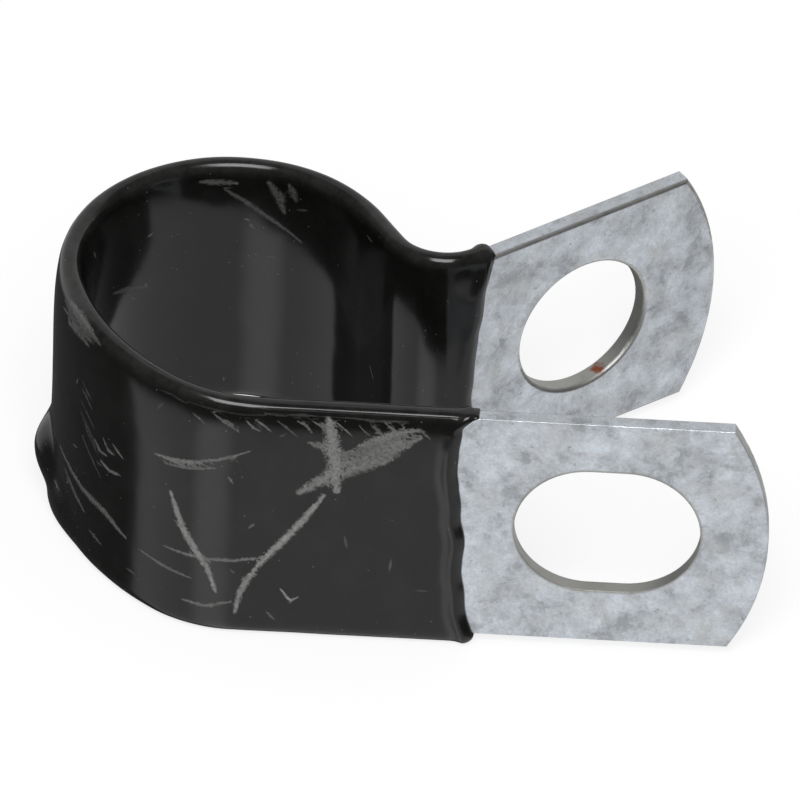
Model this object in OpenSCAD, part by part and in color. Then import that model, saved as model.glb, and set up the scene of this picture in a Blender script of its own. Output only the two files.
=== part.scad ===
// P clip: a steel band bent into a loop with two splayed tabs, dipped in soft vinyl up to the tabs.
// It stands on its lower rim. Z is the loop's axis, X runs out along the front tab, and the origin is
// the loop's centre, halfway up the band.

/* [Band] */
// Width of the steel band
band_w = 19; // [15:0.5:24]
// Thickness of the steel band
band_t = 1.2; // [0.9:0.1:1.6]
// Rounding that the punch leaves along the edges of the inner face
roll_r = 0.3; // [0.15:0.05:0.35]

/* [Loop] */
// Bend radius of the loop, to the middle of the band
loop_r = 11.4; // [10:0.1:13]
// Bend radius of the long flank between the loop and the heel
flank_r = 19.7; // [16:0.1:24]
// Bend radius of the heel, where the front leg begins
heel_r = 8.25; // [7:0.05:10]

/* [Back leg] */
// Straight length between the loop and the reverse bend
neck_l = 3.05; // [1:0.05:5]
// Bend radius of the reverse bend
neck_r = 3.9; // [3:0.1:5]

/* [Tabs] */
// Straight front leg, from the heel to the middle of the coat's edge
front_leg_l = 15.9; // [12:0.1:20]
// The same for the back leg, from the reverse bend
back_leg_l = 0.4; // [0.4:0.1:3]
// Bare front tab, from the coat's edge to the middle of its slot
front_hole_at = 10.1; // [9.5:0.1:12]
// Bare back tab, from the coat's edge to the middle of its hole
back_hole_at = 8.5; // [8:0.1:11]
// Hole's middle to the tip of its tab
tip_l = 11.25; // [10:0.05:13]
// Radius of the arc that ends each tab
tip_r = 18.5; // [16:0.5:24]
// Diameter of the round hole, and width of the slot
hole_d = 10.5; // [6.6:0.1:11]
// Extra length that makes the front tab's hole a slot
slot_extra = 2.5; // [1:0.1:4]
// Height of both holes above the middle of the band
hole_lift = 0.1; // [0:0.05:0.2]

/* [Vinyl coat] */
// Coat on each face of the band
coat_t = 0.45; // [0.35:0.05:0.7]
// Coat above the band's upper edge
coat_top = 0.7; // [0.6:0.05:1]
// Coat below the band's lower edge
coat_bottom = 0.8; // [0.6:0.05:1]
// Rounding of the coat's rims
rim_r = 0.75; // [0.5:0.05:0.9]
// How much further the coat's front edge reaches at the rims than in the middle
front_bow = 1.2; // [0.4:0.1:1.6]
// The same for its back edge
back_bow = 0.7; // [0.4:0.1:1]

/* [Drip] */
// Radius of the drip that set at the far end of the loop
drip_r = 3; // [2.5:0.1:3.4]
// How far it stands out
drip_out = 1.15; // [0.6:0.05:1.4]
// Height of its middle above the lower rim
drip_z = 3.3; // [3:0.1:6]
// Its place around the loop, from the X axis
drip_at = 184; // [176:1:194]

/* [Hidden] */
$fn = 96;
coat_half = band_t / 2 + coat_t;
coat_h = band_w + coat_top + coat_bottom;
band_z = -band_w / 2;
coat_z = band_z - coat_bottom;
// Every bend ends on a multiple of this angle, whose sine and cosine are 0.6 and 0.8, so that each
// run meets the next one exactly.
turn = atan2(3, 4);
loop_start = 270 - 2 * turn;
loop_end = 180 - 4 * turn;
// A move is [length or radius, angle turned]. A straight turns by 0. Each list runs from the loop out.
front_bends = [[flank_r, turn], [heel_r, turn]];
back_bends = [[neck_l, 0], [neck_r, 5 * turn - 90]];

// A section has the band's outer face at +x. This turns it when that face is on the right of the run.
module outer_on(left) { if (left) children(); else mirror([1, 0]) children(); }

// Sector of a circle about Z, from +X, tall enough to cut any ring of the clip.
module sector(a) {
    reach = 100;
    translate([0, 0, coat_z - 1]) linear_extrude(coat_h + 2)
        polygon([[0, 0], for (i = [0:4]) reach * [cos(a * i / 4), sin(a * i / 4)]]);
}

// Part of a ring, from +X.
module arc(a) intersection() { rotate_extrude() children(); sector(a); }

// Straight run of a section, along +X.
module straight(l, left) rotate([90, 0, 90]) linear_extrude(l) outer_on(left) children();

// Run of a section round a left-hand bend, which starts along +X.
module bend(r, a, left)
    translate([0, r, 0]) rotate([0, 0, -90]) arc(a) translate([r, 0]) outer_on(!left) children();

// Moves on to the end of a move.
module onward(m)
    if (m[1] == 0) translate([m[0], 0, 0]) children();
    else translate([0, m[0], 0]) rotate([0, 0, m[1]]) translate([0, -m[0], 0]) children();

// Runs the first child, a section, along a list of moves, and puts the second child at the end.
module run(moves, left, i = 0)
    if (i < len(moves)) {
        if (moves[i][1] == 0) straight(moves[i][0], left) children(0);
        else bend(moves[i][0], moves[i][1], left) children(0);
        onward(moves[i]) run(moves, left, i + 1) { children(0); children(1); }
    } else children(1);

// The loop's round part, and the two places where it ends, each with +X leading away from it.
module loop() rotate([0, 0, loop_end]) arc(loop_start - loop_end) translate([loop_r, 0]) children();
module at_front() rotate([0, 0, loop_start]) translate([loop_r, 0, 0]) rotate([0, 0, 90]) children();
module at_back() rotate([0, 0, loop_end]) translate([loop_r, 0, 0]) rotate([0, 0, -90]) children();

module band_section() {
    translate([-band_t / 2 + roll_r, band_z]) square([band_t - roll_r, band_w]);
    translate([-band_t / 2, band_z + roll_r]) square([2 * roll_r, band_w - 2 * roll_r]);
    for (z = [roll_r, band_w - roll_r])
        translate([-band_t / 2 + roll_r, band_z + z]) circle(roll_r);
}

module coat_outline() {
    translate([-coat_half, coat_z + rim_r]) square([2 * coat_half, coat_h - 2 * rim_r]);
    translate([-coat_half + rim_r, coat_z]) square([2 * (coat_half - rim_r), coat_h]);
    for (x = [-1, 1], z = [rim_r, coat_h - rim_r])
        translate([x * (coat_half - rim_r), coat_z + z]) circle(rim_r);
}

module coat_section() difference() { coat_outline(); band_section(); }

// Blank's end: a disc whose rim is rounded where it meets the inner face, at z = 0.
module tip_disc() rotate_extrude() {
    translate([0, roll_r]) square([tip_r, band_t]);
    translate([0, -1]) square([tip_r - roll_r, band_t + 2]);
    translate([tip_r - roll_r, roll_r]) circle(roll_r);
}

// Punched hole or slot, flared by the punch at the inner face, at z = 0.
module punched(r, extra) {
    for (s = extra > 0 ? [-1, 1] : [0]) translate([s * extra / 2, 0, 0]) {
        translate([0, 0, -1]) cylinder(r = r, h = band_t + 2);
        rotate_extrude() translate([r, 0]) flare();
    }
    if (extra > 0) {
        translate([-extra / 2, -r, -1]) cube([extra, 2 * r, band_t + 2]);
        for (s = [0, 1]) mirror([0, s, 0]) translate([-extra / 2, 0, 0])
            rotate([90, 0, 90]) linear_extrude(extra) translate([r, 0]) flare();
    }
}

// Section of the flare, beside the hole's wall at x = 0.
module flare() difference() {
    translate([-0.2, -0.2]) square([roll_r + 0.2, roll_r + 0.2]);
    translate([roll_r, roll_r]) circle(roll_r);
}

// Bare tab along +X, from the coat's edge, with its outer face on the left.
module tab(hole_at, extra) difference() {
    intersection() {
        straight(hole_at + tip_l, true) band_section();
        translate([hole_at + tip_l - tip_r, -band_t / 2, 0])
            rotate([-90, 0, 0]) tip_disc();
    }
    translate([hole_at, -band_t / 2, hole_lift]) rotate([-90, 0, 0]) punched(hole_d / 2, extra);
}

// Last straight of the coat, along +X. Its edge bows, so that its middle, at x = l, is furthest back.
module coat_end(l, bow) {
    bow_r = (pow(coat_h / 2, 2) + bow * bow) / (2 * bow);
    difference() {
        straight(l + 2 * bow, true) coat_section();
        translate([l + bow_r, 0, coat_z + coat_h / 2]) rotate([90, 0, 0])
            cylinder(r = bow_r, h = 4 * coat_half, center = true);
    }
}

// The drip that set where the dipped clip hung lowest.
module drip() difference() {
    rotate([0, 0, drip_at]) translate([loop_r + coat_half + drip_out - drip_r, 0, coat_z + drip_z])
        sphere(drip_r);
    translate([0, 0, coat_z - 1]) cylinder(r = loop_r + coat_half - 0.2, h = coat_h);
    translate([-2 * loop_r, -loop_r, coat_z - 2]) cube([2 * loop_r, 2 * loop_r, 2]);
}

module steel_band() color("lightsteelblue") {
    loop() band_section();
    at_front() run(concat(front_bends, [[front_leg_l, 0]]), false) {
        band_section();
        mirror([0, 1, 0]) tab(front_hole_at, slot_extra);
    }
    at_back() run(concat(back_bends, [[back_leg_l, 0]]), true) {
        band_section();
        tab(back_hole_at, 0);
    }
}

module vinyl_coat() color("#1c1c1e") {
    loop() coat_section();
    at_front() run(front_bends, false) {
        coat_section();
        mirror([0, 1, 0]) coat_end(front_leg_l, front_bow);
    }
    at_back() run(back_bends, true) {
        coat_section();
        coat_end(back_leg_l, back_bow);
    }
    drip();
}

steel_band();
vinyl_coat();
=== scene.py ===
"""P clip for cables, dressed for rendering: a zinc plated steel band dipped in black vinyl."""

import logging
import math
import random
from dataclasses import dataclass, field
from enum import Enum
from typing import Any

import bmesh
import bpy
from mathutils import Matrix, Vector, noise


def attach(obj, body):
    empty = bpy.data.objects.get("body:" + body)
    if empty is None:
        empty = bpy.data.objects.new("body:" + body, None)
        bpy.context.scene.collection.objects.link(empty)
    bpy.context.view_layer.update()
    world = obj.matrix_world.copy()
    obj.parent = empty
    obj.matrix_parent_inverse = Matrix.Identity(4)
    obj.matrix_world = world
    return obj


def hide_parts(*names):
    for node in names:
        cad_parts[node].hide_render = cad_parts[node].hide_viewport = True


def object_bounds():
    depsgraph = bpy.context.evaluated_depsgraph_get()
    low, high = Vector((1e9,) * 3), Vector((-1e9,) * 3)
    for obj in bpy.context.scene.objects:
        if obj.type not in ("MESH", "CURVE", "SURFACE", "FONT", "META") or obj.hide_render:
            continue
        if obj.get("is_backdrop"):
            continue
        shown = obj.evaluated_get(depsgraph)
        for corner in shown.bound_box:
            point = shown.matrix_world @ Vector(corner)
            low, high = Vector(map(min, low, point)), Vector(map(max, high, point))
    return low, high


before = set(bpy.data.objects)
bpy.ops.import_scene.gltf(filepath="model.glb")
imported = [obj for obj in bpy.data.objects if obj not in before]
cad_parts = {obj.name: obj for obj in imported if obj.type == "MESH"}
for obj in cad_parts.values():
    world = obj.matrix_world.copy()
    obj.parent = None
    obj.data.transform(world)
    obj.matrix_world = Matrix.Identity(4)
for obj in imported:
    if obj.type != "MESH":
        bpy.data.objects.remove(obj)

LOG = logging.getLogger("p_clip")
MM = 0.001  # metres in a millimetre
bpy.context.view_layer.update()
WHITE = (1.0, 1.0, 1.0, 1.0)


# ---------------------------------------------------------------- helpers


def linear(code: str) -> tuple[float, float, float, float]:
    """Turns an sRGB hex colour into Blender's linear values.

    Args:
        code: the colour, such as "#B8BEC6".

    Returns:
        Linear red, green, blue and an alpha of 1.
    """
    parts = [int(code[i : i + 2], 16) / 255 for i in (1, 3, 5)]
    red, green, blue = (
        p / 12.92 if p <= 0.04045 else ((p + 0.055) / 1.055) ** 2.4 for p in parts
    )
    return red, green, blue, 1.0


def add_node(
    tree: bpy.types.NodeTree, kind: str, wires: dict[Any, Any] | None = None, **settings: Any
) -> bpy.types.Node:
    """Adds one node with its settings, its fixed inputs and its links.

    Args:
        tree: the node tree that gets it.
        kind: Blender's name for the node type.
        wires: for each input name or number, an output socket to link or a value to set.
        settings: properties of the node itself.

    Returns:
        The new node.
    """
    made = tree.nodes.new(kind)
    for name, value in settings.items():
        setattr(made, name, value)
    for name, value in (wires or {}).items():
        if isinstance(value, bpy.types.NodeSocket):
            tree.links.new(value, made.inputs[name])
        else:
            made.inputs[name].default_value = value
    return made


def stand(name: str, data: bpy.types.ID) -> bpy.types.Object:
    """Puts an object in the scene.

    Args:
        name: its name.
        data: its mesh, lamp or camera.

    Returns:
        The object.
    """
    made = bpy.data.objects.new(name, data)
    bpy.context.scene.collection.objects.link(made)
    return made


def unit(value: float) -> float:
    """The value, kept between 0 and 1."""
    return max(0.0, min(1.0, value))


def ease(part: float) -> float:
    """A smooth step from 0 to 1 for a part between them."""
    return part * part * (3 - 2 * part)


def place_in_mm(tree: bpy.types.NodeTree) -> bpy.types.NodeSocket:
    """The shaded place in the object's own millimetres.

    Args:
        tree: the material's tree.

    Returns:
        The place as a vector socket.
    """
    place = add_node(tree, "ShaderNodeTexCoord").outputs["Object"]
    return add_node(
        tree, "ShaderNodeVectorMath", {0: place, "Scale": 1000.0}, operation="SCALE"
    ).outputs["Vector"]


def new_material(name: str) -> tuple[bpy.types.Material, bpy.types.NodeTree]:
    """Makes an empty node material.

    Args:
        name: its name.

    Returns:
        The material and its tree.
    """
    made = bpy.data.materials.new(name)
    made.use_nodes = True
    made.node_tree.nodes.clear()
    return made, made.node_tree


# ---------------------------------------------------------------- the band's path


class Turn(Enum):
    """Which way a piece of the path goes."""

    STRAIGHT = 0
    LEFT = 1
    RIGHT = -1


@dataclass(frozen=True)
class Stretch:
    """One piece of the band's middle line: a straight length, or a bend."""

    turn: Turn
    length: float  # mm along the middle line
    radius: float = 0.0  # mm, of a bend


@dataclass(frozen=True)
class BandPath:
    """The middle line of the band under the coat, from its front edge round to its back one."""

    start: tuple[float, float] = (16.998, -15.086)  # mm, the front leg's end
    heading: float = math.pi  # the front leg runs towards -X
    corner: float = math.atan2(3, 4)  # the turn of the heel and of the flank
    loop_turn: float = math.radians(163.7398)
    neck_turn: float = math.radians(94.3495)
    front_leg: float = 15.9  # mm
    heel_r: float = 8.25
    flank_r: float = 19.7
    loop_r: float = 11.4
    neck: float = 3.05
    neck_r: float = 3.9
    back_leg: float = 0.4

    def stretches(self) -> list[Stretch]:
        """The pieces in order: front leg, heel, flank, loop, neck, reverse bend, back leg.

        Returns:
            The seven pieces.
        """
        return [
            Stretch(Turn.STRAIGHT, self.front_leg),
            Stretch(Turn.RIGHT, self.heel_r * self.corner, self.heel_r),
            Stretch(Turn.RIGHT, self.flank_r * self.corner, self.flank_r),
            Stretch(Turn.RIGHT, self.loop_r * self.loop_turn, self.loop_r),
            Stretch(Turn.STRAIGHT, self.neck),
            Stretch(Turn.LEFT, self.neck_r * self.neck_turn, self.neck_r),
            Stretch(Turn.STRAIGHT, self.back_leg),
        ]

    def length(self) -> float:
        """The whole length in mm."""
        return sum(s.length for s in self.stretches())

    def at(self, along: float) -> tuple[Vector, Vector]:
        """Where the middle line is, and which way is outward there.

        Args:
            along: mm from the front coat edge; past either end the line goes straight on.

        Returns:
            The point and the outward unit vector, both flat in mm.
        """
        point = Vector(self.start)
        heading = self.heading
        left = along
        rows = self.stretches()
        for i, row in enumerate(rows):
            last = i == len(rows) - 1
            step = left if (last or left < 0) else min(left, row.length)
            if row.turn is Turn.STRAIGHT:
                point = point + step * Vector((math.cos(heading), math.sin(heading)))
            else:
                side = row.turn.value
                middle = point + side * row.radius * Vector(
                    (-math.sin(heading), math.cos(heading))
                )
                angle = side * step / row.radius
                point = middle + Matrix.Rotation(angle, 2) @ (point - middle)
                heading += angle
            left -= step
            if abs(left) < 1e-9 or along < 0:
                break
        return point, Vector((-math.sin(heading), math.cos(heading)))


# ---------------------------------------------------------------- wear on the coat


RUB_LAYERS = ("rub_near", "rub_aside", "rub_width", "rub_strength")
SOFT = 0.45  # mm over which a mark's closeness falls to nothing; the mesh step is about half of it
BLUNT, BULGE = 0.45, 2.2  # a mark's width at its ends, and what makes it 1 in its middle


class Face(Enum):
    """The two broad faces of the coat."""

    OUTSIDE = 1
    INSIDE = -1


@dataclass(frozen=True)
class Rub:
    """A mark rubbed into the vinyl: a line of points in mm, with a width and a strength."""

    line: tuple[tuple[float, float], ...]  # (mm along from the front edge, mm above mid band)
    width: float
    strength: float
    face: Face = Face.OUTSIDE

    def reading(self, along: float, height: float) -> tuple[float, float, float]:
        """How near one place is to the mark.

        Args:
            along: mm from the front edge.
            height: mm above the middle of the band.

        Returns:
            The closeness, 0.5 on the mark's border, more inside it and 0 from SOFT mm outside;
            the distance in mm from the mark's nearest run, negative on its right side; and the
            mark's half width there, which tapers to both ends.
        """
        here = Vector((along, height))
        best = (1e9, 1.0, 0.0)
        runs = len(self.line) - 1
        for i, (a, b) in enumerate(zip(self.line, self.line[1:])):
            start, end = Vector(a), Vector(b)
            run = end - start
            part = unit((here - start).dot(run) / run.length_squared)
            far = (here - start - part * run).length
            aside = (run.x * (here - start).y - run.y * (here - start).x) / run.length
            best = min(best, (far, aside, (i + part) / runs))
        wide = self.width * (BLUNT + BULGE * best[2] * (1 - best[2]))
        near = 0.5 + 0.5 * (wide - best[0]) / SOFT
        return unit(near), best[1], wide


def fan(
    first: tuple[tuple[float, float], tuple[float, float]],
    last: tuple[tuple[float, float], tuple[float, float]],
    count: int,
    width: float,
    strength: float,
    seed: int,
) -> tuple[Rub, ...]:
    """A smear made of many thin streaks that lie between two lines.

    Args:
        first: the start and end of the line on one side, in mm.
        last: the same on the other side.
        count: how many streaks.
        width: the half width of a streak.
        strength: how pale the palest is.
        seed: for the streaks' lengths.

    Returns:
        The streaks.
    """
    dice = random.Random(seed)
    streaks = []
    for i in range(count):
        t = (i + dice.uniform(0.1, 0.9)) / count
        start, end = Vector(first[0]).lerp(last[0], t), Vector(first[1]).lerp(last[1], t)
        a, b = dice.uniform(-0.05, 0.3), dice.uniform(0.6, 1.05)
        bow = (start.lerp(end, (a + b) / 2) + Vector((0, dice.uniform(-0.2, 0.2))))[:]
        streaks.append(
            Rub(
                (start.lerp(end, a)[:], bow, start.lerp(end, b)[:]),
                width * dice.uniform(0.6, 1.3),
                strength * dice.uniform(0.4, 1.0),
            )
        )
    return tuple(streaks)


RUBS: tuple[Rub, ...] = (
    # the broad pale smear that comes down from the front rim beside the edge
    Rub(((9.5, 8.9), (9.2, 7.0), (8.9, 4.9), (8.8, 3.0)), 0.62, 0.62),
    Rub(((9.0, 5.0), (9.6, 3.9), (11.3, 2.6)), 0.5, 0.55),
    *fan(((8.9, 3.6), (3.4, 6.9)), ((8.9, 6.4), (2.6, 8.9)), 9, 0.3, 0.5, 3),
    Rub(((8.6, 4.3), (6.9, 5.1), (5.0, 6.0)), 0.45, 0.5),
    Rub(((9.6, 6.6), (10.7, 6.9)), 0.3, 0.4),
    # the long scratch from the smear down to the lower rim
    Rub(((9.7, 2.3), (11.0, 0.2), (12.3, -1.7), (13.5, -3.3), (14.6, -4.9)), 0.3, 0.8),
    Rub(((13.9, -3.9), (14.8, -5.4), (15.3, -6.6), (15.6, -8.3)), 0.26, 0.7),
    # the curved scratch on the bend
    Rub(
        ((20.0, 1.0), (19.5, -0.6), (19.0, -1.9), (18.3, -3.2), (17.4, -4.8), (16.9, -6.6)),
        0.27,
        0.75,
    ),
    # light cross scratches
    Rub(((21.2, 3.8), (19.4, 4.1), (18.0, 4.5)), 0.2, 0.5),
    Rub(((19.4, 4.2), (17.2, 4.9), (15.0, 5.9)), 0.14, 0.4),
    Rub(((20.4, 3.4), (18.6, 3.8), (17.2, 4.2)), 0.14, 0.3),
    Rub(((20.3, -3.9), (17.9, -3.9), (15.8, -3.8), (13.6, -3.4)), 0.17, 0.4),
    Rub(((22.4, -5.4), (20.8, -5.6), (18.6, -5.9)), 0.15, 0.35),
    Rub(((18.9, -8.0), (17.6, -8.1), (16.0, -7.5)), 0.17, 0.4),
    Rub(((12.4, -6.2), (11.8, -7.1), (11.3, -6.8)), 0.12, 0.8),
    # dull creases on the far bend
    Rub(((32.6, -3.6), (28.8, -4.2), (26.0, -4.3), (23.9, -5.1)), 0.3, 0.32),
    Rub(((31.5, -4.7), (28.5, -6.0)), 0.24, 0.24),
    Rub(((27.6, -7.2), (26.4, -7.4)), 0.2, 0.22),
    Rub(((27.2, 1.1), (26.6, 0.6), (26.0, 0.7)), 0.15, 0.35),
    Rub(((26.3, 1.9), (25.8, 1.3), (25.2, 1.3)), 0.15, 0.35),
    Rub(((26.5, -0.2), (25.6, -0.4), (24.6, -0.1)), 0.17, 0.4),
    Rub(((25.2, 2.1), (24.3, 1.6)), 0.14, 0.35),
    *fan(((33.5, 9.8), (27.5, 9.6)), ((33.0, 7.6), (28.5, 8.4)), 7, 0.22, 0.4, 5),
    *fan(((29.8, 6.0), (27.6, 5.0)), ((29.0, 0.0), (26.6, -2.0)), 6, 0.16, 0.2, 6),
    # short strokes under the front rim
    *fan(((19.5, 8.9), (17.6, 7.4)), ((2.5, 8.9), (1.5, 7.6)), 15, 0.13, 0.42, 8),
    *fan(((22.5, 9.3), (19.0, 9.1)), ((8.0, 9.4), (3.0, 9.3)), 8, 0.12, 0.14, 9),
    # scuffs inside the loop, where the cable lies
    Rub(((53.9, 8.1), (55.4, 7.2), (56.8, 6.3), (59.9, 4.7)), 0.2, 0.2, Face.INSIDE),
    Rub(((57.2, 8.9), (58.0, 8.0), (58.4, 6.9)), 0.4, 0.2, Face.INSIDE),
    Rub(((58.8, 9.0), (59.3, 8.2)), 0.4, 0.18, Face.INSIDE),
    Rub(((52.0, 8.9), (54.6, 8.7)), 0.25, 0.25, Face.INSIDE),
    Rub(((44.0, 2.0), (47.5, 1.0)), 0.2, 0.15, Face.INSIDE),
)


@dataclass
class WearMap:
    """Spreads the rubs over the coat, plus small random nicks on both faces."""

    rubs: tuple[Rub, ...] = RUBS
    nicks: int = 90
    seed: int = 11
    length: float = 76.3  # mm along the coat
    margin: float = 1.5  # mm that the nicks keep from its ends
    tall: float = 9.0  # mm that they reach above and below mid band
    nick_run: tuple[float, float] = (0.12, 0.9)  # mm, the length of a nick
    nick_half: float = 0.11  # mm, its half width
    nick_strength: tuple[float, float] = (0.1, 0.4)
    marks: list[Rub] = field(default_factory=list)

    def __post_init__(self) -> None:
        """Adds the seeded nicks to the named rubs."""
        dice = random.Random(self.seed)
        self.marks = list(self.rubs)
        for _ in range(self.nicks):
            along = dice.uniform(self.margin, self.length - self.margin)
            height = dice.uniform(-self.tall, self.tall)
            way, run = dice.uniform(0, math.pi), dice.uniform(*self.nick_run)
            end = (along + run * math.cos(way), height + run * math.sin(way))
            face = dice.choice((Face.OUTSIDE, Face.INSIDE))
            strength = dice.uniform(*self.nick_strength)
            self.marks.append(Rub(((along, height), end), self.nick_half, strength, face))

    def at(self, along: float, height: float, face: Face) -> tuple[float, float, float, float]:
        """The nearest mark at one place of one face.

        Args:
            along: mm from the front edge.
            height: mm above the middle of the band.
            face: which broad face.

        Returns:
            Its closeness, the distance from its middle line, its width and its strength.
        """
        best = (0.0, 1.0, 0.15, 0.4)
        for mark in self.marks:
            if mark.face is not face:
                continue
            reach = mark.width + SOFT
            if not any(
                min(a[0], b[0]) - reach <= along <= max(a[0], b[0]) + reach
                and min(a[1], b[1]) - reach <= height <= max(a[1], b[1]) + reach
                for a, b in zip(mark.line, mark.line[1:])
            ):
                continue
            near, aside, wide = mark.reading(along, height)
            best = max(best, (near, aside, wide, mark.strength))
        return best


# ---------------------------------------------------------------- the coat


@dataclass(frozen=True)
class RingPoint:
    """One point of the coat's section: its place on the skin and on the steel under it, in mm."""

    skin: tuple[float, float]  # (outward, up)
    steel: tuple[float, float]
    normal: tuple[float, float]
    face: Face


@dataclass(frozen=True)
class Lump:
    """A smooth swelling of the coat, such as the drip that dipping leaves."""

    along: float
    height: float
    long: float
    tall: float
    out: float

    def at(self, along: float, height: float) -> float:
        """How far it stands out at one place, in mm."""
        far = ((along - self.along) / self.long) ** 2 + ((height - self.height) / self.tall) ** 2
        return self.out * (1 - far) ** 2 if far < 1 else 0.0


@dataclass
class VinylCoat:
    """The dipped coat: a rounded skin on the band with rolled edges, a bead and a drip."""

    path: BandPath = field(default_factory=BandPath)
    band_half: float = 0.6  # mm, half the steel's thickness
    band_width: float = 19.0
    skin: float = 0.45  # mm of vinyl on each broad face
    top: float = 0.7  # over the upper edge of the band
    bottom: float = 0.8  # under the lower edge
    rim_top: float = 1.0  # rounding of the upper rim, where the skin ran thin
    rim_bottom: float = 0.7  # of the lower rim, where it gathered
    drained: float = 0.5  # mm less over the front leg's upper edge, which drained first
    drained_to: float = 21.0  # mm along, where the upper edge is whole again
    drained_fade: float = 8.0  # mm over which it thins
    drained_zone: tuple[float, float] = (7.5, 2.7)  # mm: from this height, over this much of it
    thin: float = 0.3  # mm that the skin draws back from the upper edge of the band as it cures
    grid: float = 0.25  # mesh step
    first_step: float = 0.03  # the same at the very ends
    growth: float = 0.25  # of the step there, in each mm along
    bead_out: float = 0.2  # ridge beside each end
    bead_at: float = 0.72  # mm in from the end
    bead_half: float = 0.42
    edge_fade: float = 2.5  # mm over which the waves of an end die out along the coat
    sway: float = 0.1  # small waves of the ends
    settle: float = 0.6  # mm from an end over which the skin's unevenness grows
    lip: float = 0.5  # length of the rounding at each end
    clear: float = 0.012  # the channel stands this far off the steel
    rim_steps: int = 6  # mesh steps round each rounding of the rims
    crest_steps: int = 3  # across the flat of a rim
    channel_steps: int = 60  # along the channel, where the steel hides it
    swell: float = 0.035  # unevenness of a dipped skin
    swell_mm: tuple[float, float] = (6.5, 5.0)  # the size of its waves, along and up
    small: float = 0.35  # share of the smaller waves on them
    small_mm: float = 2.2
    drips: tuple[Lump, ...] = (
        Lump(36.4, -6.4, 3.4, 3.1, 1.1),
        Lump(33.6, -8.9, 4.6, 3.0, 0.35),
    )
    # how far each end runs past its nominal line, from the upper rim to the lower one
    front_edge: tuple[tuple[float, float], ...] = (
        (0.0, -0.95), (0.09, 0.2), (0.23, 0.45), (0.47, 0.05), (0.585, -0.25), (0.68, -0.1),
        (0.844, -0.4), (1.0, -1.1),
    )
    back_edge: tuple[tuple[float, float], ...] = (
        (0.0, 0.8), (0.2, -0.1), (0.4, -0.6), (0.6, -0.8), (0.8, -0.6), (1.0, -0.3),
    )
    wear: WearMap = field(default_factory=WearMap)

    def section(self) -> list[RingPoint]:
        """The coat's section: up the outer face, over the rim, down the inner face and back.

        Returns:
            The ring of points, from the bottom of the outer face.
        """
        half = self.band_half + self.skin
        low, high = -self.band_width / 2 - self.bottom, self.band_width / 2 + self.top
        upper, lower = self.rim_top, self.rim_bottom
        ring: list[RingPoint] = []

        def put(w: float, z: float, nw: float, nz: float) -> None:
            """Adds one point with its shadow on the steel.

            Args:
                w: outward from the middle of the band, in mm.
                z: up from there, in mm.
                nw: the skin's normal, outward.
                nz: the skin's normal, up.
            """
            sw = max(-self.band_half, min(self.band_half, w))
            sz = max(-self.band_width / 2, min(self.band_width / 2, z))
            if abs(nw) > 0.5:
                sw = math.copysign(self.band_half, nw)
            sw += self.clear * nw
            sz += self.clear * nz
            face = Face.OUTSIDE if w >= 0 else Face.INSIDE
            ring.append(RingPoint((w, z), (sw, sz), (nw, nz), face))

        rows = round((high - upper - low - lower) / self.grid)
        for side in (1, -1):
            for i in range(rows + 1):
                part = i / rows if side > 0 else 1 - i / rows
                put(side * half, low + lower + (high - upper - low - lower) * part, side, 0)
            r = upper if side > 0 else lower
            centre = (side * (half - r), (high - r) if side > 0 else (low + r))
            for i in range(1, self.rim_steps + 1):
                a = math.radians(90 * i / self.rim_steps)
                nw, nz = side * math.cos(a), side * math.sin(a)
                put(centre[0] + r * nw, centre[1] + r * nz, nw, nz)
            for i in range(1, self.crest_steps):
                w = side * (half - r) * (1 - 2 * i / self.crest_steps)
                put(w, centre[1] + side * r, 0, side)
            for i in range(self.rim_steps):
                a = math.radians(90 * i / self.rim_steps)
                nw, nz = -side * math.sin(a), side * math.cos(a)
                put(-centre[0] + r * nw, centre[1] + r * nz, nw, nz)
        return ring

    def stations(self) -> list[float]:
        """Places along the path, closer together at the ends where the lip curls.

        Returns:
            The places in mm, from the front edge to the back one.
        """
        whole = self.path.length()
        places = [0.0]
        while places[-1] < whole / 2:
            step = self.first_step + self.growth * places[-1]
            places.append(places[-1] + min(self.grid, step))
        half = places[:-1]
        return half + [whole - p for p in reversed(half)]

    @staticmethod
    def edge(table: tuple[tuple[float, float], ...], part: float) -> float:
        """Smooth reading of an edge table.

        Args:
            table: (part, offset) pairs from the upper rim to the lower one.
            part: 0 at the upper rim, 1 at the lower one.

        Returns:
            The offset in mm.
        """
        part = unit(part)
        for (a, low), (b, high) in zip(table, table[1:]):
            if part <= b:
                t = ease((part - a) / (b - a))
                return low * (1 - t) + high * t
        return table[-1][1]

    def wavy(self, ring: RingPoint, nominal: float) -> tuple[float, float]:
        """Where a point of the section goes once the ends are wavy.

        Args:
            ring: the point of the section.
            nominal: mm along the path before that.

        Returns:
            Its place along the path and how far in it is from the nearer end, in mm.
        """
        whole = self.path.length()
        high = self.band_width / 2 + self.top
        part = (high - ring.skin[1]) / (self.band_width + self.top + self.bottom)
        sway = self.sway * noise.noise(Vector((0, ring.skin[1] * 0.6, 3.0 * ring.face.value)))
        front = self.edge(self.front_edge, part) + sway
        back = self.edge(self.back_edge, part) + sway
        along = (
            nominal
            + front * math.exp(-nominal / self.edge_fade)
            + back * math.exp(-(whole - nominal) / self.edge_fade)
        )
        return along, max(0.0, min(along - front, whole + back - along))

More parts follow.
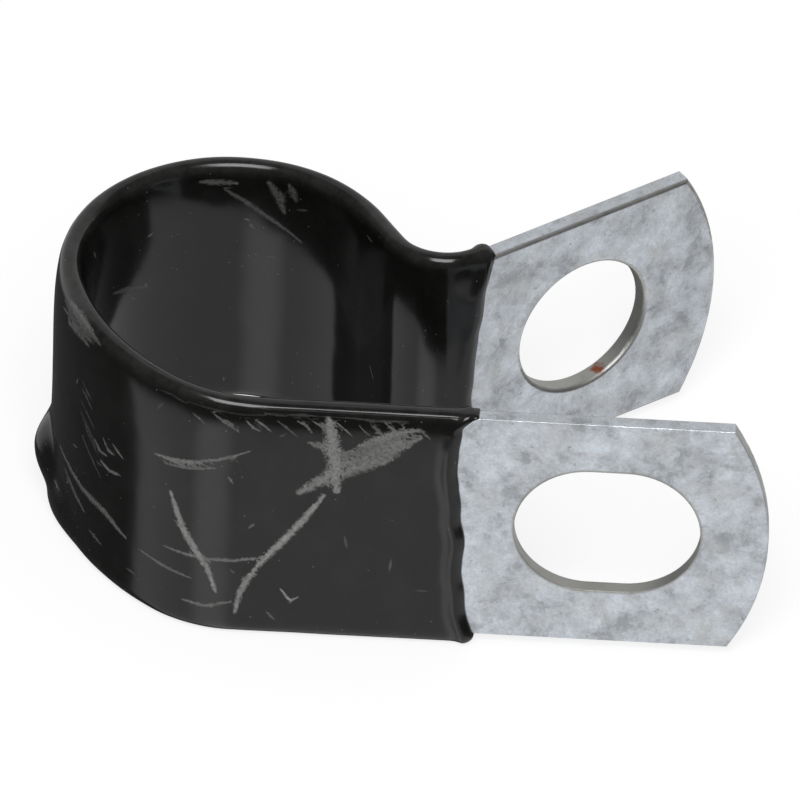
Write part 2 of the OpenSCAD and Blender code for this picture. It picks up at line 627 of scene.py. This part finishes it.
    def lift(self, ring: RingPoint, along: float, near: float) -> float:
        """How far the bead, the waves and the drips raise the skin over its plain section.

        Args:
            ring: the point of the section.
            along: its place along the path, in mm.
            near: how far in it is from the nearer end, in mm.

        Returns:
            The height in mm, along the section's normal.
        """
        height, side = ring.skin[1], ring.face.value
        bead = self.bead_out * math.exp(-(((near - self.bead_at) / self.bead_half) ** 2))
        bead *= 0.9 + 0.5 * noise.noise(Vector((7, height * 0.3, 2.0 * side)))
        bead *= 0.25 + 0.75 * abs(ring.normal[0])  # lower over the rims
        long, tall = self.swell_mm
        wave = self.swell * noise.noise(Vector((along / long, height / tall, 5.0 * side)))
        wave += self.small * self.swell * noise.noise(
            Vector((along / self.small_mm, height / self.small_mm, 9.0 * side))
        )
        out = (bead + wave) * min(1.0, near / self.settle)
        if ring.face is Face.OUTSIDE:
            out += sum(drip.at(along, height) for drip in self.drips) * max(0.0, ring.normal[0])
        return out

    def skin_point(self, ring: RingPoint, nominal: float) -> tuple[Vector, float, float]:
        """One vertex of the skin.

        Args:
            ring: the point of the section.
            nominal: mm along the path, before the wavy ends are added.

        Returns:
            The vertex in mm, its place along the path and its height.
        """
        along, near = self.wavy(ring, nominal)
        lift = self.lift(ring, along, near)
        height = ring.skin[1]
        # the lip at each end is a quarter round
        full = math.sqrt(max(0.0, 1 - (1 - min(1.0, near / self.lip)) ** 2))
        # the skin draws in sharply just before the upper edge
        up = unit(height / (self.band_width / 2))
        skin = ring.skin[0] * (1 - self.thin / (self.band_half + self.skin) * up**6)
        w = ring.steel[0] + (skin - ring.steel[0]) * full + lift * ring.normal[0]
        z = ring.steel[1] + (height - ring.steel[1]) * full + lift * ring.normal[1]
        leg = unit((self.drained_to - along) / self.drained_fade)
        upper = unit((height - self.drained_zone[0]) / self.drained_zone[1])
        z -= self.drained * full * ease(leg) * upper * upper
        point, outward = self.path.at(along)
        flat = point + w * outward
        return Vector((flat.x, flat.y, z)), along, height

    def build(self) -> bpy.types.Object:
        """Makes the coat as one closed mesh, with the channel for the steel inside.

        Returns:
            The coat's object, in metres.
        """
        ring = self.section()
        places = self.stations()
        mesh = bpy.data.meshes.new("vinyl_skin")
        bm = bmesh.new()
        layers = [bm.verts.layers.float.new(name) for name in RUB_LAYERS]
        rows: list[list[bmesh.types.BMVert]] = []
        for place in places:
            row = []
            for item in ring:
                point, along, height = self.skin_point(item, place)
                vert = bm.verts.new(point * MM)
                for layer, value in zip(layers, self.wear.at(along, height, item.face)):
                    vert[layer] = value
                row.append(vert)
            rows.append(row)
        whole = self.path.length()
        inside = [rows[-1]]
        for i in range(1, self.channel_steps):
            place = whole * (1 - i / self.channel_steps)
            point, outward = self.path.at(place)
            row = []
            for item in ring:
                flat = point + item.steel[0] * outward
                row.append(bm.verts.new(Vector((flat.x, flat.y, item.steel[1])) * MM))
            inside.append(row)
        inside.append(rows[0])
        for group in (rows, inside):
            for a, b in zip(group, group[1:]):
                for j in range(len(ring)):
                    k = (j + 1) % len(ring)
                    bm.faces.new((a[j], b[j], b[k], a[k]))
        bmesh.ops.recalc_face_normals(bm, faces=bm.faces)
        for face in bm.faces:
            face.smooth = True
        bm.to_mesh(mesh)
        bm.free()
        return stand("vinyl_skin", mesh)


# ---------------------------------------------------------------- finishes


@dataclass(frozen=True)
class Hole:
    """A punched hole of the steel band, round or drawn out along its tab."""

    centre: tuple[float, float, float]  # mm
    along: tuple[float, float, float]
    radius: float
    extra: float = 0.0

    def axis(self) -> Vector:
        """The way through the hole."""
        return Vector(self.along).cross(Vector((0, 0, 1)))


HOLES: tuple[Hole, ...] = (
    Hole((27.098, -15.086, 0.1), (1.0, 0.0, 0.0), 5.25, 2.5),
    Hole((24.0006, 7.8735, 0.1), (0.8, 0.6, 0.0), 5.25),
)


@dataclass(frozen=True)
class ZincPlatedSteel:
    """Cold rolled strip with a dull electroplated zinc skin that has aged in a box.

    The plating gives a soft bluish grey gloss with cloudy, darker stains, fine rolling grain
    and a little rust where a punched edge has lost its zinc.
    """

    bright: str = "#E6EDF5"
    middle: str = "#D6DBE1"
    stain: str = "#BABFC4"
    dry: str = "#CFCFCC"
    grime: str = "#7C7E7B"
    # bare cut steel, and painted shade on the rolled edges and the holes' walls
    sheared_and_painted_shade: str = "#B7B5AE"
    rust: str = "#A4552A"
    roughness: float = 0.34
    cloud_mm: float = 2.4
    patch_mm: float = 1.6
    fleck_mm: float = 0.55
    grain_mm: float = 0.22
    rust_at: tuple[float, float, float] = (25.5, 8.95, -4.85)
    rust_r: float = 0.75  # mm
    rust_fade: float = 0.35  # mm over which it ends
    tones: tuple[float, float, float] = (0.44, 0.58, 0.78)  # of stain, middle and bright
    patch_share: float = 0.12  # how much the patches and the flecks change the tone
    dry_share: float = 0.35
    grime_share: float = 0.5
    rolled_painted_shade_share: float = 0.72  # of the cut colour, as painted shade on edges that the die rolled over, where the rounding reflects dark
    wall_painted_shade_share: float = 0.8  # painted shade on the walls of the holes
    wall_fade: tuple[float, float] = (0.05, 0.22)  # mm past a hole's radius where that painted shade ends
    cut_rough: float = 0.2  # rougher there
    edge_break: float = 0.00012  # m

    def cut_edges_and_painted_shade(
        self, tree: bpy.types.NodeTree, mm: bpy.types.NodeSocket
    ) -> bpy.types.NodeSocket:
        """Where the strip was sheared, punched or rolled over by the die, it is darker: partly the
        bare cut steel, partly painted shade on the rounded edges and the holes' walls.

        Args:
            tree: the material's tree.
            mm: the place in millimetres.

        Returns:
            A mask socket of the cut colour and its painted shade.
        """
        up = add_node(
            tree, "ShaderNodeSeparateXYZ",
            {"Vector": add_node(tree, "ShaderNodeNewGeometry").outputs["True Normal"]},
        ).outputs["Z"]
        # painted shade on a rolled over edge, which faces neither level nor upright: its normal's
        # |z| is 0.08 to 0.92
        steep = add_node(tree, "ShaderNodeMath", {0: up}, operation="ABSOLUTE").outputs[0]
        rolled = add_node(
            tree, "ShaderNodeMath", {0: steep, 1: 0.5, 2: 0.42}, operation="COMPARE"
        ).outputs[0]
        out = add_node(
            tree, "ShaderNodeMath", {0: rolled, 1: self.rolled_painted_shade_share}, operation="MULTIPLY"
        ).outputs[0]
        for hole in HOLES:
            place = add_node(
                tree, "ShaderNodeVectorMath", {0: mm, 1: hole.centre}, operation="SUBTRACT"
            ).outputs["Vector"]
            run = add_node(
                tree, "ShaderNodeVectorMath", {0: place, 1: hole.along}, operation="DOT_PRODUCT"
            ).outputs["Value"]
            run = add_node(tree, "ShaderNodeMath", {0: run}, operation="ABSOLUTE").outputs[0]
            run = add_node(
                tree, "ShaderNodeMath", {0: run, 1: hole.extra / 2}, operation="SUBTRACT"
            ).outputs[0]
            run = add_node(tree, "ShaderNodeMath", {0: run, 1: 0.0}, operation="MAXIMUM").outputs[0]
            rise = add_node(tree, "ShaderNodeSeparateXYZ", {"Vector": place}).outputs["Z"]
            through = add_node(
                tree, "ShaderNodeVectorMath", {0: place, 1: hole.axis()}, operation="DOT_PRODUCT"
            ).outputs["Value"]
            # only the tab that the hole is in: within 1 mm of its middle
            own = add_node(
                tree, "ShaderNodeMath", {0: through, 1: 0.0, 2: 1.0}, operation="COMPARE"
            ).outputs[0]
            both = add_node(tree, "ShaderNodeCombineXYZ", {"X": run, "Y": rise}).outputs[0]
            away = add_node(
                tree, "ShaderNodeVectorMath", {0: both}, operation="LENGTH"
            ).outputs["Value"]
            # painted shade: the hole's wall and a thin ring round it are darker
            wall_shade = add_node(
                tree, "ShaderNodeMapRange",
                {"Value": away, "From Min": hole.radius + self.wall_fade[0],
                 "From Max": hole.radius + self.wall_fade[1], "To Min": self.wall_painted_shade_share,
                 "To Max": 0.0},
            ).outputs["Result"]
            wall_shade = add_node(
                tree, "ShaderNodeMath", {0: wall_shade, 1: own}, operation="MULTIPLY"
            ).outputs[0]
            out = add_node(
                tree, "ShaderNodeMath", {0: out, 1: wall_shade}, operation="MAXIMUM"
            ).outputs[0]
        return out

    def material(self) -> bpy.types.Material:
        """Builds the node material.

        Returns:
            The zinc material.
        """
        made, tree = new_material("zinc_plated_steel")
        mm = place_in_mm(tree)
        cloud = add_node(
            tree, "ShaderNodeTexNoise",
            {"Vector": mm, "Scale": 1 / self.cloud_mm, "Detail": 8.0, "Roughness": 0.68,
             "Distortion": 0.15},
        ).outputs["Fac"]
        # the zinc grew in patches with smaller flecks in them, each a little lighter or darker
        shaken = add_node(
            tree, "ShaderNodeTexNoise", {"Vector": mm, "Scale": 1.3, "Detail": 3.0}
        ).outputs["Color"]
        shifted = add_node(
            tree, "ShaderNodeVectorMath", {0: mm, 1: shaken}, operation="ADD"
        ).outputs["Vector"]
        tone = cloud
        for size, axis in ((self.patch_mm, "X"), (self.fleck_mm, "Y")):
            cell = add_node(
                tree, "ShaderNodeTexVoronoi",
                {"Vector": shifted, "Scale": 1 / size, "Randomness": 1.0},
            ).outputs["Color"]
            lighter = add_node(tree, "ShaderNodeSeparateXYZ", {"Vector": cell}).outputs[axis]
            tone = add_node(
                tree, "ShaderNodeMath",
                {0: lighter, 1: self.patch_share, 2: tone}, operation="MULTIPLY_ADD",
            ).outputs[0]
        shades = add_node(tree, "ShaderNodeValToRGB", {"Fac": tone})
        stops = shades.color_ramp.elements
        stops.new(self.tones[1])
        for stop, at, code in zip(stops, self.tones, (self.stain, self.middle, self.bright)):
            stop.position, stop.color = at, linear(code)
        colour = shades.outputs["Color"]
        # dry handling stains turn parts of it from blue to a warmer grey
        handled = add_node(
            tree, "ShaderNodeTexNoise",
            {"Vector": mm, "Scale": 0.33, "Detail": 7.0, "Roughness": 0.7},
        ).outputs["Fac"]
        dried = add_node(
            tree, "ShaderNodeMapRange",
            {"Value": handled, "From Min": 0.5, "From Max": 0.6, "To Max": self.dry_share},
        ).outputs["Result"]
        blot = add_node(
            tree, "ShaderNodeTexNoise",
            {"Vector": mm, "Scale": 1.7, "Detail": 7.0, "Roughness": 0.8, "Distortion": 0.5},
        ).outputs["Fac"]
        grimy = add_node(
            tree, "ShaderNodeMapRange",
            {"Value": blot, "From Min": 0.60, "From Max": 0.66, "To Max": self.grime_share},
        ).outputs["Result"]
        for part, code in ((dried, self.dry), (grimy, self.grime)):
            colour = add_node(
                tree, "ShaderNodeMix",
                {"Factor": part, "A": colour, "B": linear(code)}, data_type="RGBA",
            ).outputs[2]
        # the zinc's fine grain is about a tenth of a millimetre, drawn twice as coarse to show
        grain = add_node(
            tree, "ShaderNodeTexNoise",
            {"Vector": mm, "Scale": 1 / self.grain_mm, "Detail": 3.0, "Roughness": 0.6},
        ).outputs["Fac"]
        sparkle = add_node(
            tree, "ShaderNodeMapRange",
            {"Value": grain, "From Min": 0.3, "From Max": 0.7, "To Min": 0.9, "To Max": 1.08},
        ).outputs["Result"]
        colour = add_node(
            tree, "ShaderNodeHueSaturation", {"Color": colour, "Value": sparkle}
        ).outputs["Color"]
        cut_and_shade = self.cut_edges_and_painted_shade(tree, mm)
        far = add_node(
            tree, "ShaderNodeVectorMath", {0: mm, 1: self.rust_at}, operation="DISTANCE"
        ).outputs["Value"]
        creep = add_node(
            tree, "ShaderNodeTexNoise", {"Vector": mm, "Scale": 2.4, "Detail": 4.0}
        ).outputs["Fac"]
        ragged = add_node(tree, "ShaderNodeMath", {0: far, 1: creep}).outputs["Value"]
        rusty = add_node(
            tree, "ShaderNodeMapRange",
            {"Value": ragged, "From Min": self.rust_r + self.rust_fade, "From Max": self.rust_r,
             "To Max": 0.9},
        ).outputs["Result"]
        # the cut colour: partly bare steel, partly painted shade on the rolled edges and the holes'
        # walls
        for part, code in ((cut_and_shade, self.sheared_and_painted_shade), (rusty, self.rust)):
            colour = add_node(
                tree, "ShaderNodeMix",
                {"Factor": part, "A": colour, "B": linear(code)}, data_type="RGBA",
            ).outputs[2]
        rough = add_node(
            tree, "ShaderNodeMapRange",
            {"Value": cloud, "From Min": 0.3, "From Max": 0.65, "To Min": self.roughness + 0.12,
             "To Max": self.roughness - 0.06},
        ).outputs["Result"]
        # sheared edges are never quite sharp: they catch the light over a tenth of a millimetre
        broken = add_node(
            tree, "ShaderNodeBevel", {"Radius": self.edge_break}, samples=4
        ).outputs[0]
        bump = add_node(
            tree, "ShaderNodeBump",
            {"Height": grain, "Strength": 0.25, "Distance": 0.00002, "Normal": broken},
        ).outputs["Normal"]
        rough = add_node(
            tree, "ShaderNodeMath", {0: cut_and_shade, 1: self.cut_rough, 2: rough}, operation="MULTIPLY_ADD"
        ).outputs[0]
        shader = add_node(
            tree, "ShaderNodeBsdfPrincipled",
            {"Base Color": colour, "Metallic": 1.0, "Roughness": rough, "Normal": bump},
        )
        add_node(tree, "ShaderNodeOutputMaterial", {"Surface": shader.outputs["BSDF"]})
        return made


@dataclass(frozen=True)
class DippedVinyl:
    """Black plastisol, dipped and cured: a smooth, slightly uneven skin with a wet gloss.

    Handling leaves pale, dull rubs on it, and fine dust; along the rims a grey of rubbing is mixed
    with painted sheen.
    """

    body: str = "#0E0E0D"
    # the pale grey of the rubs, also the painted sheen along the rims
    rubbed_and_sheen: str = "#9B9B99"
    dust: str = "#8A8A88"
    ior: float = 1.46
    roughness: float = 0.13
    worn_roughness: float = 0.6
    ripple_mm: float = 1.6
    streaks: float = 3.2  # torn streaks to the mm
    grit: float = 5.0  # gritty gaps to the mm
    raggedness: float = 5.0  # how far the streaks eat into a mark's border
    border: tuple[float, float] = (2.9, 3.7)  # where a mark ends, once that is added
    hair: float = 0.0012  # half width of a hairline, in the noise's own measure
    rim_zone: tuple[float, float] = (8.9, 10.3)  # mm from mid band where the rims' grey grows, partly rubbing and partly painted sheen
    # how pale that grey gets: rubbing and painted sheen
    rim_rub_and_sheen: float = 0.06
    film: float = 0.012
    specks: float = 1.1  # specks of dust to the mm

    def material(self) -> bpy.types.Material:
        """Builds the node material.

        Returns:
            The vinyl material.
        """
        made, tree = new_material("dipped_black_vinyl")
        mm = place_in_mm(tree)
        near, aside, width, strength = (
            add_node(tree, "ShaderNodeAttribute", attribute_name=name).outputs["Fac"]
            for name in RUB_LAYERS
        )
        # the rubs are torn into streaks about a third of a millimetre wide, with finer gaps
        streak = add_node(
            tree, "ShaderNodeTexNoise",
            {"Vector": mm, "Scale": self.streaks, "Detail": 6.0, "Roughness": 0.8,
             "Distortion": 1.6},
        ).outputs["Fac"]
        fine = add_node(
            tree, "ShaderNodeTexNoise",
            {"Vector": mm, "Scale": self.grit, "Detail": 4.0, "Roughness": 0.8},
        ).outputs["Fac"]
        # a mark's own border is its distance over its width, made ragged by the streaks
        apart = add_node(tree, "ShaderNodeMath", {0: aside}, operation="ABSOLUTE").outputs[0]
        apart = add_node(
            tree, "ShaderNodeMath", {0: apart, 1: width}, operation="DIVIDE"
        ).outputs[0]
        ragged = add_node(
            tree, "ShaderNodeMath",
            {0: streak, 1: self.raggedness, 2: apart}, operation="MULTIPLY_ADD",
        ).outputs[0]
        across = add_node(
            tree, "ShaderNodeMapRange",
            {"Value": ragged, "From Min": self.border[0], "From Max": self.border[1],
             "To Min": 1.0, "To Max": 0.0},
            interpolation_type="SMOOTHSTEP",
        ).outputs["Result"]
        ends = add_node(
            tree, "ShaderNodeMapRange",
            {"Value": near, "From Min": 0.28, "From Max": 0.5}, interpolation_type="SMOOTHSTEP",
        ).outputs["Result"]
        grit = add_node(
            tree, "ShaderNodeMapRange",
            {"Value": fine, "From Min": 0.36, "From Max": 0.6, "To Min": 0.45},
        ).outputs["Result"]
        rub = across
        for part in (ends, grit, strength):
            rub = add_node(
                tree, "ShaderNodeMath", {0: rub, 1: part}, operation="MULTIPLY"
            ).outputs[0]
        # hairlines: the thin contours of a stretched noise, shown only in patches
        hair_field = add_node(
            tree, "ShaderNodeTexNoise",
            {"Vector": mm, "Scale": 0.55, "Detail": 1.0, "Distortion": 0.4},
        ).outputs["Fac"]
        hair = add_node(
            tree, "ShaderNodeMath", {0: hair_field, 1: 0.5, 2: self.hair}, operation="COMPARE"
        ).outputs[0]
        patch = add_node(
            tree, "ShaderNodeMapRange",
            {"Value": streak, "From Min": 0.55, "From Max": 0.7, "To Max": 0.35},
        ).outputs["Result"]
        hairs = add_node(
            tree, "ShaderNodeMath", {0: hair, 1: patch}, operation="MULTIPLY"
        ).outputs[0]
        wear_and_sheen = add_node(tree, "ShaderNodeMath", {0: rub, 1: hairs}, operation="MAXIMUM").outputs[0]
        # the rims are handled most: a grey of fine rubbing lies along them, and it is also a
        # painted sheen along both rims
        height = add_node(tree, "ShaderNodeSeparateXYZ", {"Vector": mm}).outputs["Z"]
        height = add_node(tree, "ShaderNodeMath", {0: height}, operation="ABSOLUTE").outputs[0]
        rim = add_node(
            tree, "ShaderNodeMapRange",
            {"Value": height, "From Min": self.rim_zone[0], "From Max": self.rim_zone[1],
             "To Max": self.rim_rub_and_sheen},
            interpolation_type="SMOOTHSTEP",
        ).outputs["Result"]
        cloudy = add_node(
            tree, "ShaderNodeTexNoise",
            {"Vector": mm, "Scale": 0.45, "Detail": 7.0, "Roughness": 0.72},
        ).outputs["Fac"]
        uneven = add_node(
            tree, "ShaderNodeMapRange",
            {"Value": cloudy, "From Min": 0.35, "From Max": 0.65, "To Min": 0.25},
        ).outputs["Result"]
        rub_and_sheen = add_node(
            tree, "ShaderNodeMath", {0: rim, 1: uneven}, operation="MULTIPLY"
        ).outputs[0]
        # a thin film of dust lies all over
        film = add_node(
            tree, "ShaderNodeMapRange",
            {"Value": cloudy, "From Min": 0.45, "From Max": 0.75, "To Max": self.film},
        ).outputs["Result"]
        wear_and_sheen = add_node(
            tree, "ShaderNodeMath", {0: wear_and_sheen, 1: rub_and_sheen}, operation="MAXIMUM"
        ).outputs[0]
        wear_and_sheen = add_node(tree, "ShaderNodeMath", {0: wear_and_sheen, 1: film}, operation="ADD").outputs[0]
        speck = add_node(
            tree, "ShaderNodeTexVoronoi", {"Vector": mm, "Scale": self.specks, "Randomness": 1.0}
        ).outputs["Distance"]
        dusty = add_node(
            tree, "ShaderNodeMapRange",
            {"Value": speck, "From Min": 0.035, "From Max": 0.06, "To Min": 0.5, "To Max": 0.0},
        ).outputs["Result"]
        colour = linear(self.body)
        # the pale grey marks the rubs, and along the rims also the painted sheen
        for part, code in ((wear_and_sheen, self.rubbed_and_sheen), (dusty, self.dust)):
            colour = add_node(
                tree, "ShaderNodeMix",
                {"Factor": part, "A": colour, "B": linear(code)}, data_type="RGBA",
            ).outputs[2]
        rough = add_node(
            tree, "ShaderNodeMapRange",
            {"Value": wear_and_sheen, "From Min": 0.0, "From Max": 0.5, "To Min": self.roughness,
             "To Max": self.worn_roughness},
        ).outputs["Result"]
        ripple = add_node(
            tree, "ShaderNodeTexNoise",
            {"Vector": mm, "Scale": 1 / self.ripple_mm, "Detail": 3.0, "Roughness": 0.4},
        ).outputs["Fac"]
        bump = add_node(
            tree, "ShaderNodeBump", {"Height": ripple, "Strength": 0.12, "Distance": 0.00004}
        ).outputs["Normal"]
        torn_bump = add_node(
            tree, "ShaderNodeBump",
            {"Height": wear_and_sheen, "Strength": 0.4, "Distance": 0.00003, "Normal": bump},
        ).outputs["Normal"]
        shader = add_node(
            tree, "ShaderNodeBsdfPrincipled",
            {"Base Color": colour, "Metallic": 0.0, "IOR": self.ior, "Roughness": rough,
             "Normal": torn_bump},
        )
        add_node(tree, "ShaderNodeOutputMaterial", {"Surface": shader.outputs["BSDF"]})
        return made


# ---------------------------------------------------------------- stage, light and camera


@dataclass(frozen=True)
class Sector:
    """A part of the surround, as seen from the object: a direction over the table and a width."""

    middle: float  # degrees from +X
    half: float  # degrees
    soft: float  # degrees over which it fades

    def mask(self, tree: bpy.types.NodeTree, way: bpy.types.NodeSocket) -> bpy.types.NodeSocket:
        """The sector as a mask.

        Args:
            tree: the world's tree.
            way: the flat unit direction.

        Returns:
            A socket that is 1 inside and 0 outside.
        """
        a = math.radians(self.middle)
        turn = add_node(
            tree, "ShaderNodeVectorMath",
            {0: way, 1: (math.cos(a), math.sin(a), 0.0)}, operation="DOT_PRODUCT",
        ).outputs["Value"]
        low = math.cos(math.radians(self.half + self.soft / 2))
        high = math.cos(math.radians(max(0.0, self.half - self.soft / 2)))
        return add_node(
            tree, "ShaderNodeMapRange",
            {"Value": turn, "From Min": low, "From Max": high}, interpolation_type="SMOOTHSTEP",
        ).outputs["Result"]


@dataclass
class Studio:
    """A pale table, a soft box in front and above, and the cards that gloss mirrors."""

    floor_side: float = 3.0  # m
    floor_colour: str = "#F4F4F4"
    table_glow: float = 1.08  # white that the camera sees on the table, over any shading
    table_even: float = 0.72  # how much of the table's look it makes up
    below_floor: float = 0.00002  # m from the object's lowest point down to the table
    surround: float = 0.5  # even light from all round
    low_white: float = 0.725  # the white below the object's horizon, seen in reflections
    low_lamp: float = 0.55  # added where the low strip light stands
    back_white: float = 0.6  # the lit backdrop behind
    dark: float = 0.06  # the dark room behind the camera
    flag: float = 0.07  # the dark card on the loop's side
    horizon: tuple[float, float] = (-0.42, -0.52)  # sines between which the low white begins
    backdrop: tuple[float, float] = (0.2, 0.5)  # the same for the backdrop, towards +Y
    box_place: tuple[float, float, float] = (0.0, -0.37, 0.47)  # m
    box_side: float = 0.3  # m
    box_power: float = 2.2  # W
    aim: tuple[float, float, float] = (0.012, 0.0, 0.0)  # m, the point that the box faces
    strip: Sector = field(default_factory=lambda: Sector(249, 3, 34))
    card: Sector = field(default_factory=lambda: Sector(138, 46.5, 3))

    def reflected(self, tree: bpy.types.NodeTree) -> bpy.types.NodeSocket:
        """What a mirror at the object would show of the studio, by direction.

        Args:
            tree: the world's tree.

        Returns:
            The brightness.
        """
        way = add_node(tree, "ShaderNodeTexCoord").outputs["Generated"]
        split = add_node(tree, "ShaderNodeSeparateXYZ", {"Vector": way}).outputs
        level = add_node(
            tree, "ShaderNodeVectorMath", {0: way, 1: (1.0, 1.0, 0.0)}, operation="MULTIPLY"
        ).outputs["Vector"]
        flat = add_node(
            tree, "ShaderNodeVectorMath", {0: level}, operation="NORMALIZE"
        ).outputs["Vector"]
        low = add_node(
            tree, "ShaderNodeMath",
            {0: self.strip.mask(tree, flat), 1: self.low_lamp, 2: self.low_white},
            operation="MULTIPLY_ADD",
        ).outputs[0]
        low = add_node(
            tree, "ShaderNodeMix", {0: self.card.mask(tree, flat), 2: low, 3: self.flag}
        ).outputs[0]
        high = add_node(
            tree, "ShaderNodeMapRange",
            {"Value": split["Y"], "From Min": self.backdrop[0], "From Max": self.backdrop[1],
             "To Min": self.dark, "To Max": self.back_white},
            interpolation_type="SMOOTHSTEP",
        ).outputs["Result"]
        below = add_node(
            tree, "ShaderNodeMapRange",
            {"Value": split["Z"], "From Min": self.horizon[0], "From Max": self.horizon[1]},
            interpolation_type="SMOOTHSTEP",
        ).outputs["Result"]
        return add_node(tree, "ShaderNodeMix", {0: below, 2: high, 3: low}).outputs[0]

    def world(self) -> None:
        """White behind for the camera, even light for the object, and the cards for gloss."""
        world = bpy.data.worlds.new("studio")
        bpy.context.scene.world = world
        world.use_nodes = True
        tree = world.node_tree
        tree.nodes.clear()
        path = add_node(tree, "ShaderNodeLightPath")
        soft = add_node(tree, "ShaderNodeBackground", {"Color": WHITE, "Strength": self.surround})
        mirror = add_node(
            tree, "ShaderNodeBackground", {"Color": WHITE, "Strength": self.reflected(tree)}
        )
        white = add_node(tree, "ShaderNodeBackground", {"Color": WHITE, "Strength": 1.0})
        lit = add_node(
            tree, "ShaderNodeMixShader",
            {0: path.outputs["Is Glossy Ray"], 1: soft.outputs[0], 2: mirror.outputs[0]},
        )
        seen = add_node(
            tree, "ShaderNodeMixShader",
            {0: path.outputs["Is Camera Ray"], 1: lit.outputs[0], 2: white.outputs[0]},
        )
        add_node(tree, "ShaderNodeOutputWorld", {"Surface": seen.outputs[0]})

    def floor(self, height: float) -> bpy.types.Object:
        """A plain pale table top under the object.

        Args:
            height: the object's lowest point, in metres.

        Returns:
            The floor's object.
        """
        mesh = bpy.data.meshes.new("table_top")
        half = self.floor_side / 2
        corners = [(-half, -half), (half, -half), (half, half), (-half, half)]
        mesh.from_pydata([(x, y, height) for x, y in corners], [], [(0, 1, 2, 3)])
        table = stand("table_top", mesh)
        made, tree = new_material("pale_table")
        path = add_node(tree, "ShaderNodeLightPath").outputs
        diffuse = add_node(tree, "ShaderNodeBsdfDiffuse", {"Color": linear(self.floor_colour)})
        white = add_node(tree, "ShaderNodeEmission", {"Color": WHITE, "Strength": self.table_glow})
        # mostly even white for the camera; the rest keeps the object's shadow
        lift = add_node(
            tree, "ShaderNodeMath",
            {0: path["Is Camera Ray"], 1: self.table_even}, operation="MULTIPLY",
        ).outputs[0]
        seen = add_node(
            tree, "ShaderNodeMixShader", {0: lift, 1: diffuse.outputs[0], 2: white.outputs[0]}
        )
        add_node(tree, "ShaderNodeOutputMaterial", {"Surface": seen.outputs[0]})
        mesh.materials.append(made)
        # gloss sees the surround's white below the horizon in the table's place
        table.visible_glossy = False
        table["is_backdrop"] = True
        return table

    def lamp(
        self, name: str, place: tuple[float, float, float], side: float, power: float
    ) -> bpy.types.Object:
        """A square soft box that faces the object.

        Args:
            name: the lamp's name.
            place: where it hangs, in metres.
            side: its side in metres.
            power: watts.

        Returns:
            The lamp's object.
        """
        data = bpy.data.lights.new(name, "AREA")
        data.shape = "SQUARE"
        data.size = side
        data.energy = power
        lamp = stand(name, data)
        lamp.location = place
        lamp.rotation_mode = "QUATERNION"
        lamp.rotation_quaternion = (Vector(self.aim) - Vector(place)).to_track_quat("-Z", "Y")
        return lamp

    def build(self, lowest: float) -> None:
        """Puts up the table, the surround and the lamp.

        Args:
            lowest: the object's lowest point, in metres.
        """
        self.world()
        self.floor(lowest - self.below_floor)
        self.lamp("top_soft_box", self.box_place, self.box_side, self.box_power)
        LOG.info("studio: table, surround and one soft box")


@dataclass(frozen=True)
class Viewpoint:
    """A long lens from in front and above, level but for a slight roll."""

    target: tuple[float, float, float] = (0.01238, -0.01569, 0.01083)  # m
    above: float = 38.22  # degrees
    turned: float = 1.65
    roll: float = 2.0
    distance: float = 2.5  # m
    across: float = 0.0555  # m of the object's space that the view spans

    def build(self) -> bpy.types.Object:
        """Makes the camera and sets it on the scene.

        Returns:
            The camera's object.
        """
        e, a, r = (math.radians(v) for v in (self.above, self.turned, self.roll))
        ahead = Vector((-math.sin(a) * math.cos(e), math.cos(a) * math.cos(e), -math.sin(e)))
        right = Vector((math.cos(a), math.sin(a), 0))
        up = right.cross(ahead)
        x_axis = math.cos(r) * right + math.sin(r) * up
        y_axis = math.cos(r) * up - math.sin(r) * right
        data = bpy.data.cameras.new("camera")
        data.sensor_width = 36
        data.lens = 36 * self.distance / self.across
        data.clip_start, data.clip_end = 0.1, 50
        camera = stand("camera", data)
        turn = Matrix((x_axis, y_axis, -ahead)).transposed()
        camera.matrix_world = Matrix.Translation(
            Vector(self.target) - self.distance * ahead
        ) @ turn.to_4x4()
        bpy.context.scene.camera = camera
        return camera


# ---------------------------------------------------------------- the clip


@dataclass
class PClip:
    """The whole clip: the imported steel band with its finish, and the dipped coat."""

    coat: VinylCoat = field(default_factory=VinylCoat)
    zinc: ZincPlatedSteel = field(default_factory=ZincPlatedSteel)
    vinyl: DippedVinyl = field(default_factory=DippedVinyl)

    def dress_band(self) -> None:
        """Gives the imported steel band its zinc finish."""
        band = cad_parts["steel_band"]
        zinc = self.zinc.material()
        for slot in band.material_slots:
            slot.material = zinc
        LOG.info("steel_band: %d faces, zinc plated", len(band.data.polygons))

    def build_coat(self) -> bpy.types.Object:
        """Makes the vinyl coat, which replaces its plain solid.

        Returns:
            The coat's object.
        """
        coat = self.coat.build()
        coat.data.materials.append(self.vinyl.material())
        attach(coat, "root")
        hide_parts("vinyl_coat")
        LOG.info("vinyl_skin: %d faces, dipped vinyl", len(coat.data.polygons))
        return coat

    def build(self) -> None:
        """Builds and dresses both pieces."""
        self.dress_band()
        self.build_coat()


def main() -> None:
    """Builds the clip, then the studio and the camera."""
    logging.basicConfig(level=logging.INFO, format="%(name)s: %(message)s")
    bpy.context.scene.view_settings.view_transform = "Standard"
    Viewpoint().build()
    PClip().build()
    Studio().build(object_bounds()[0].z)


if __name__ == "__main__":
    main()
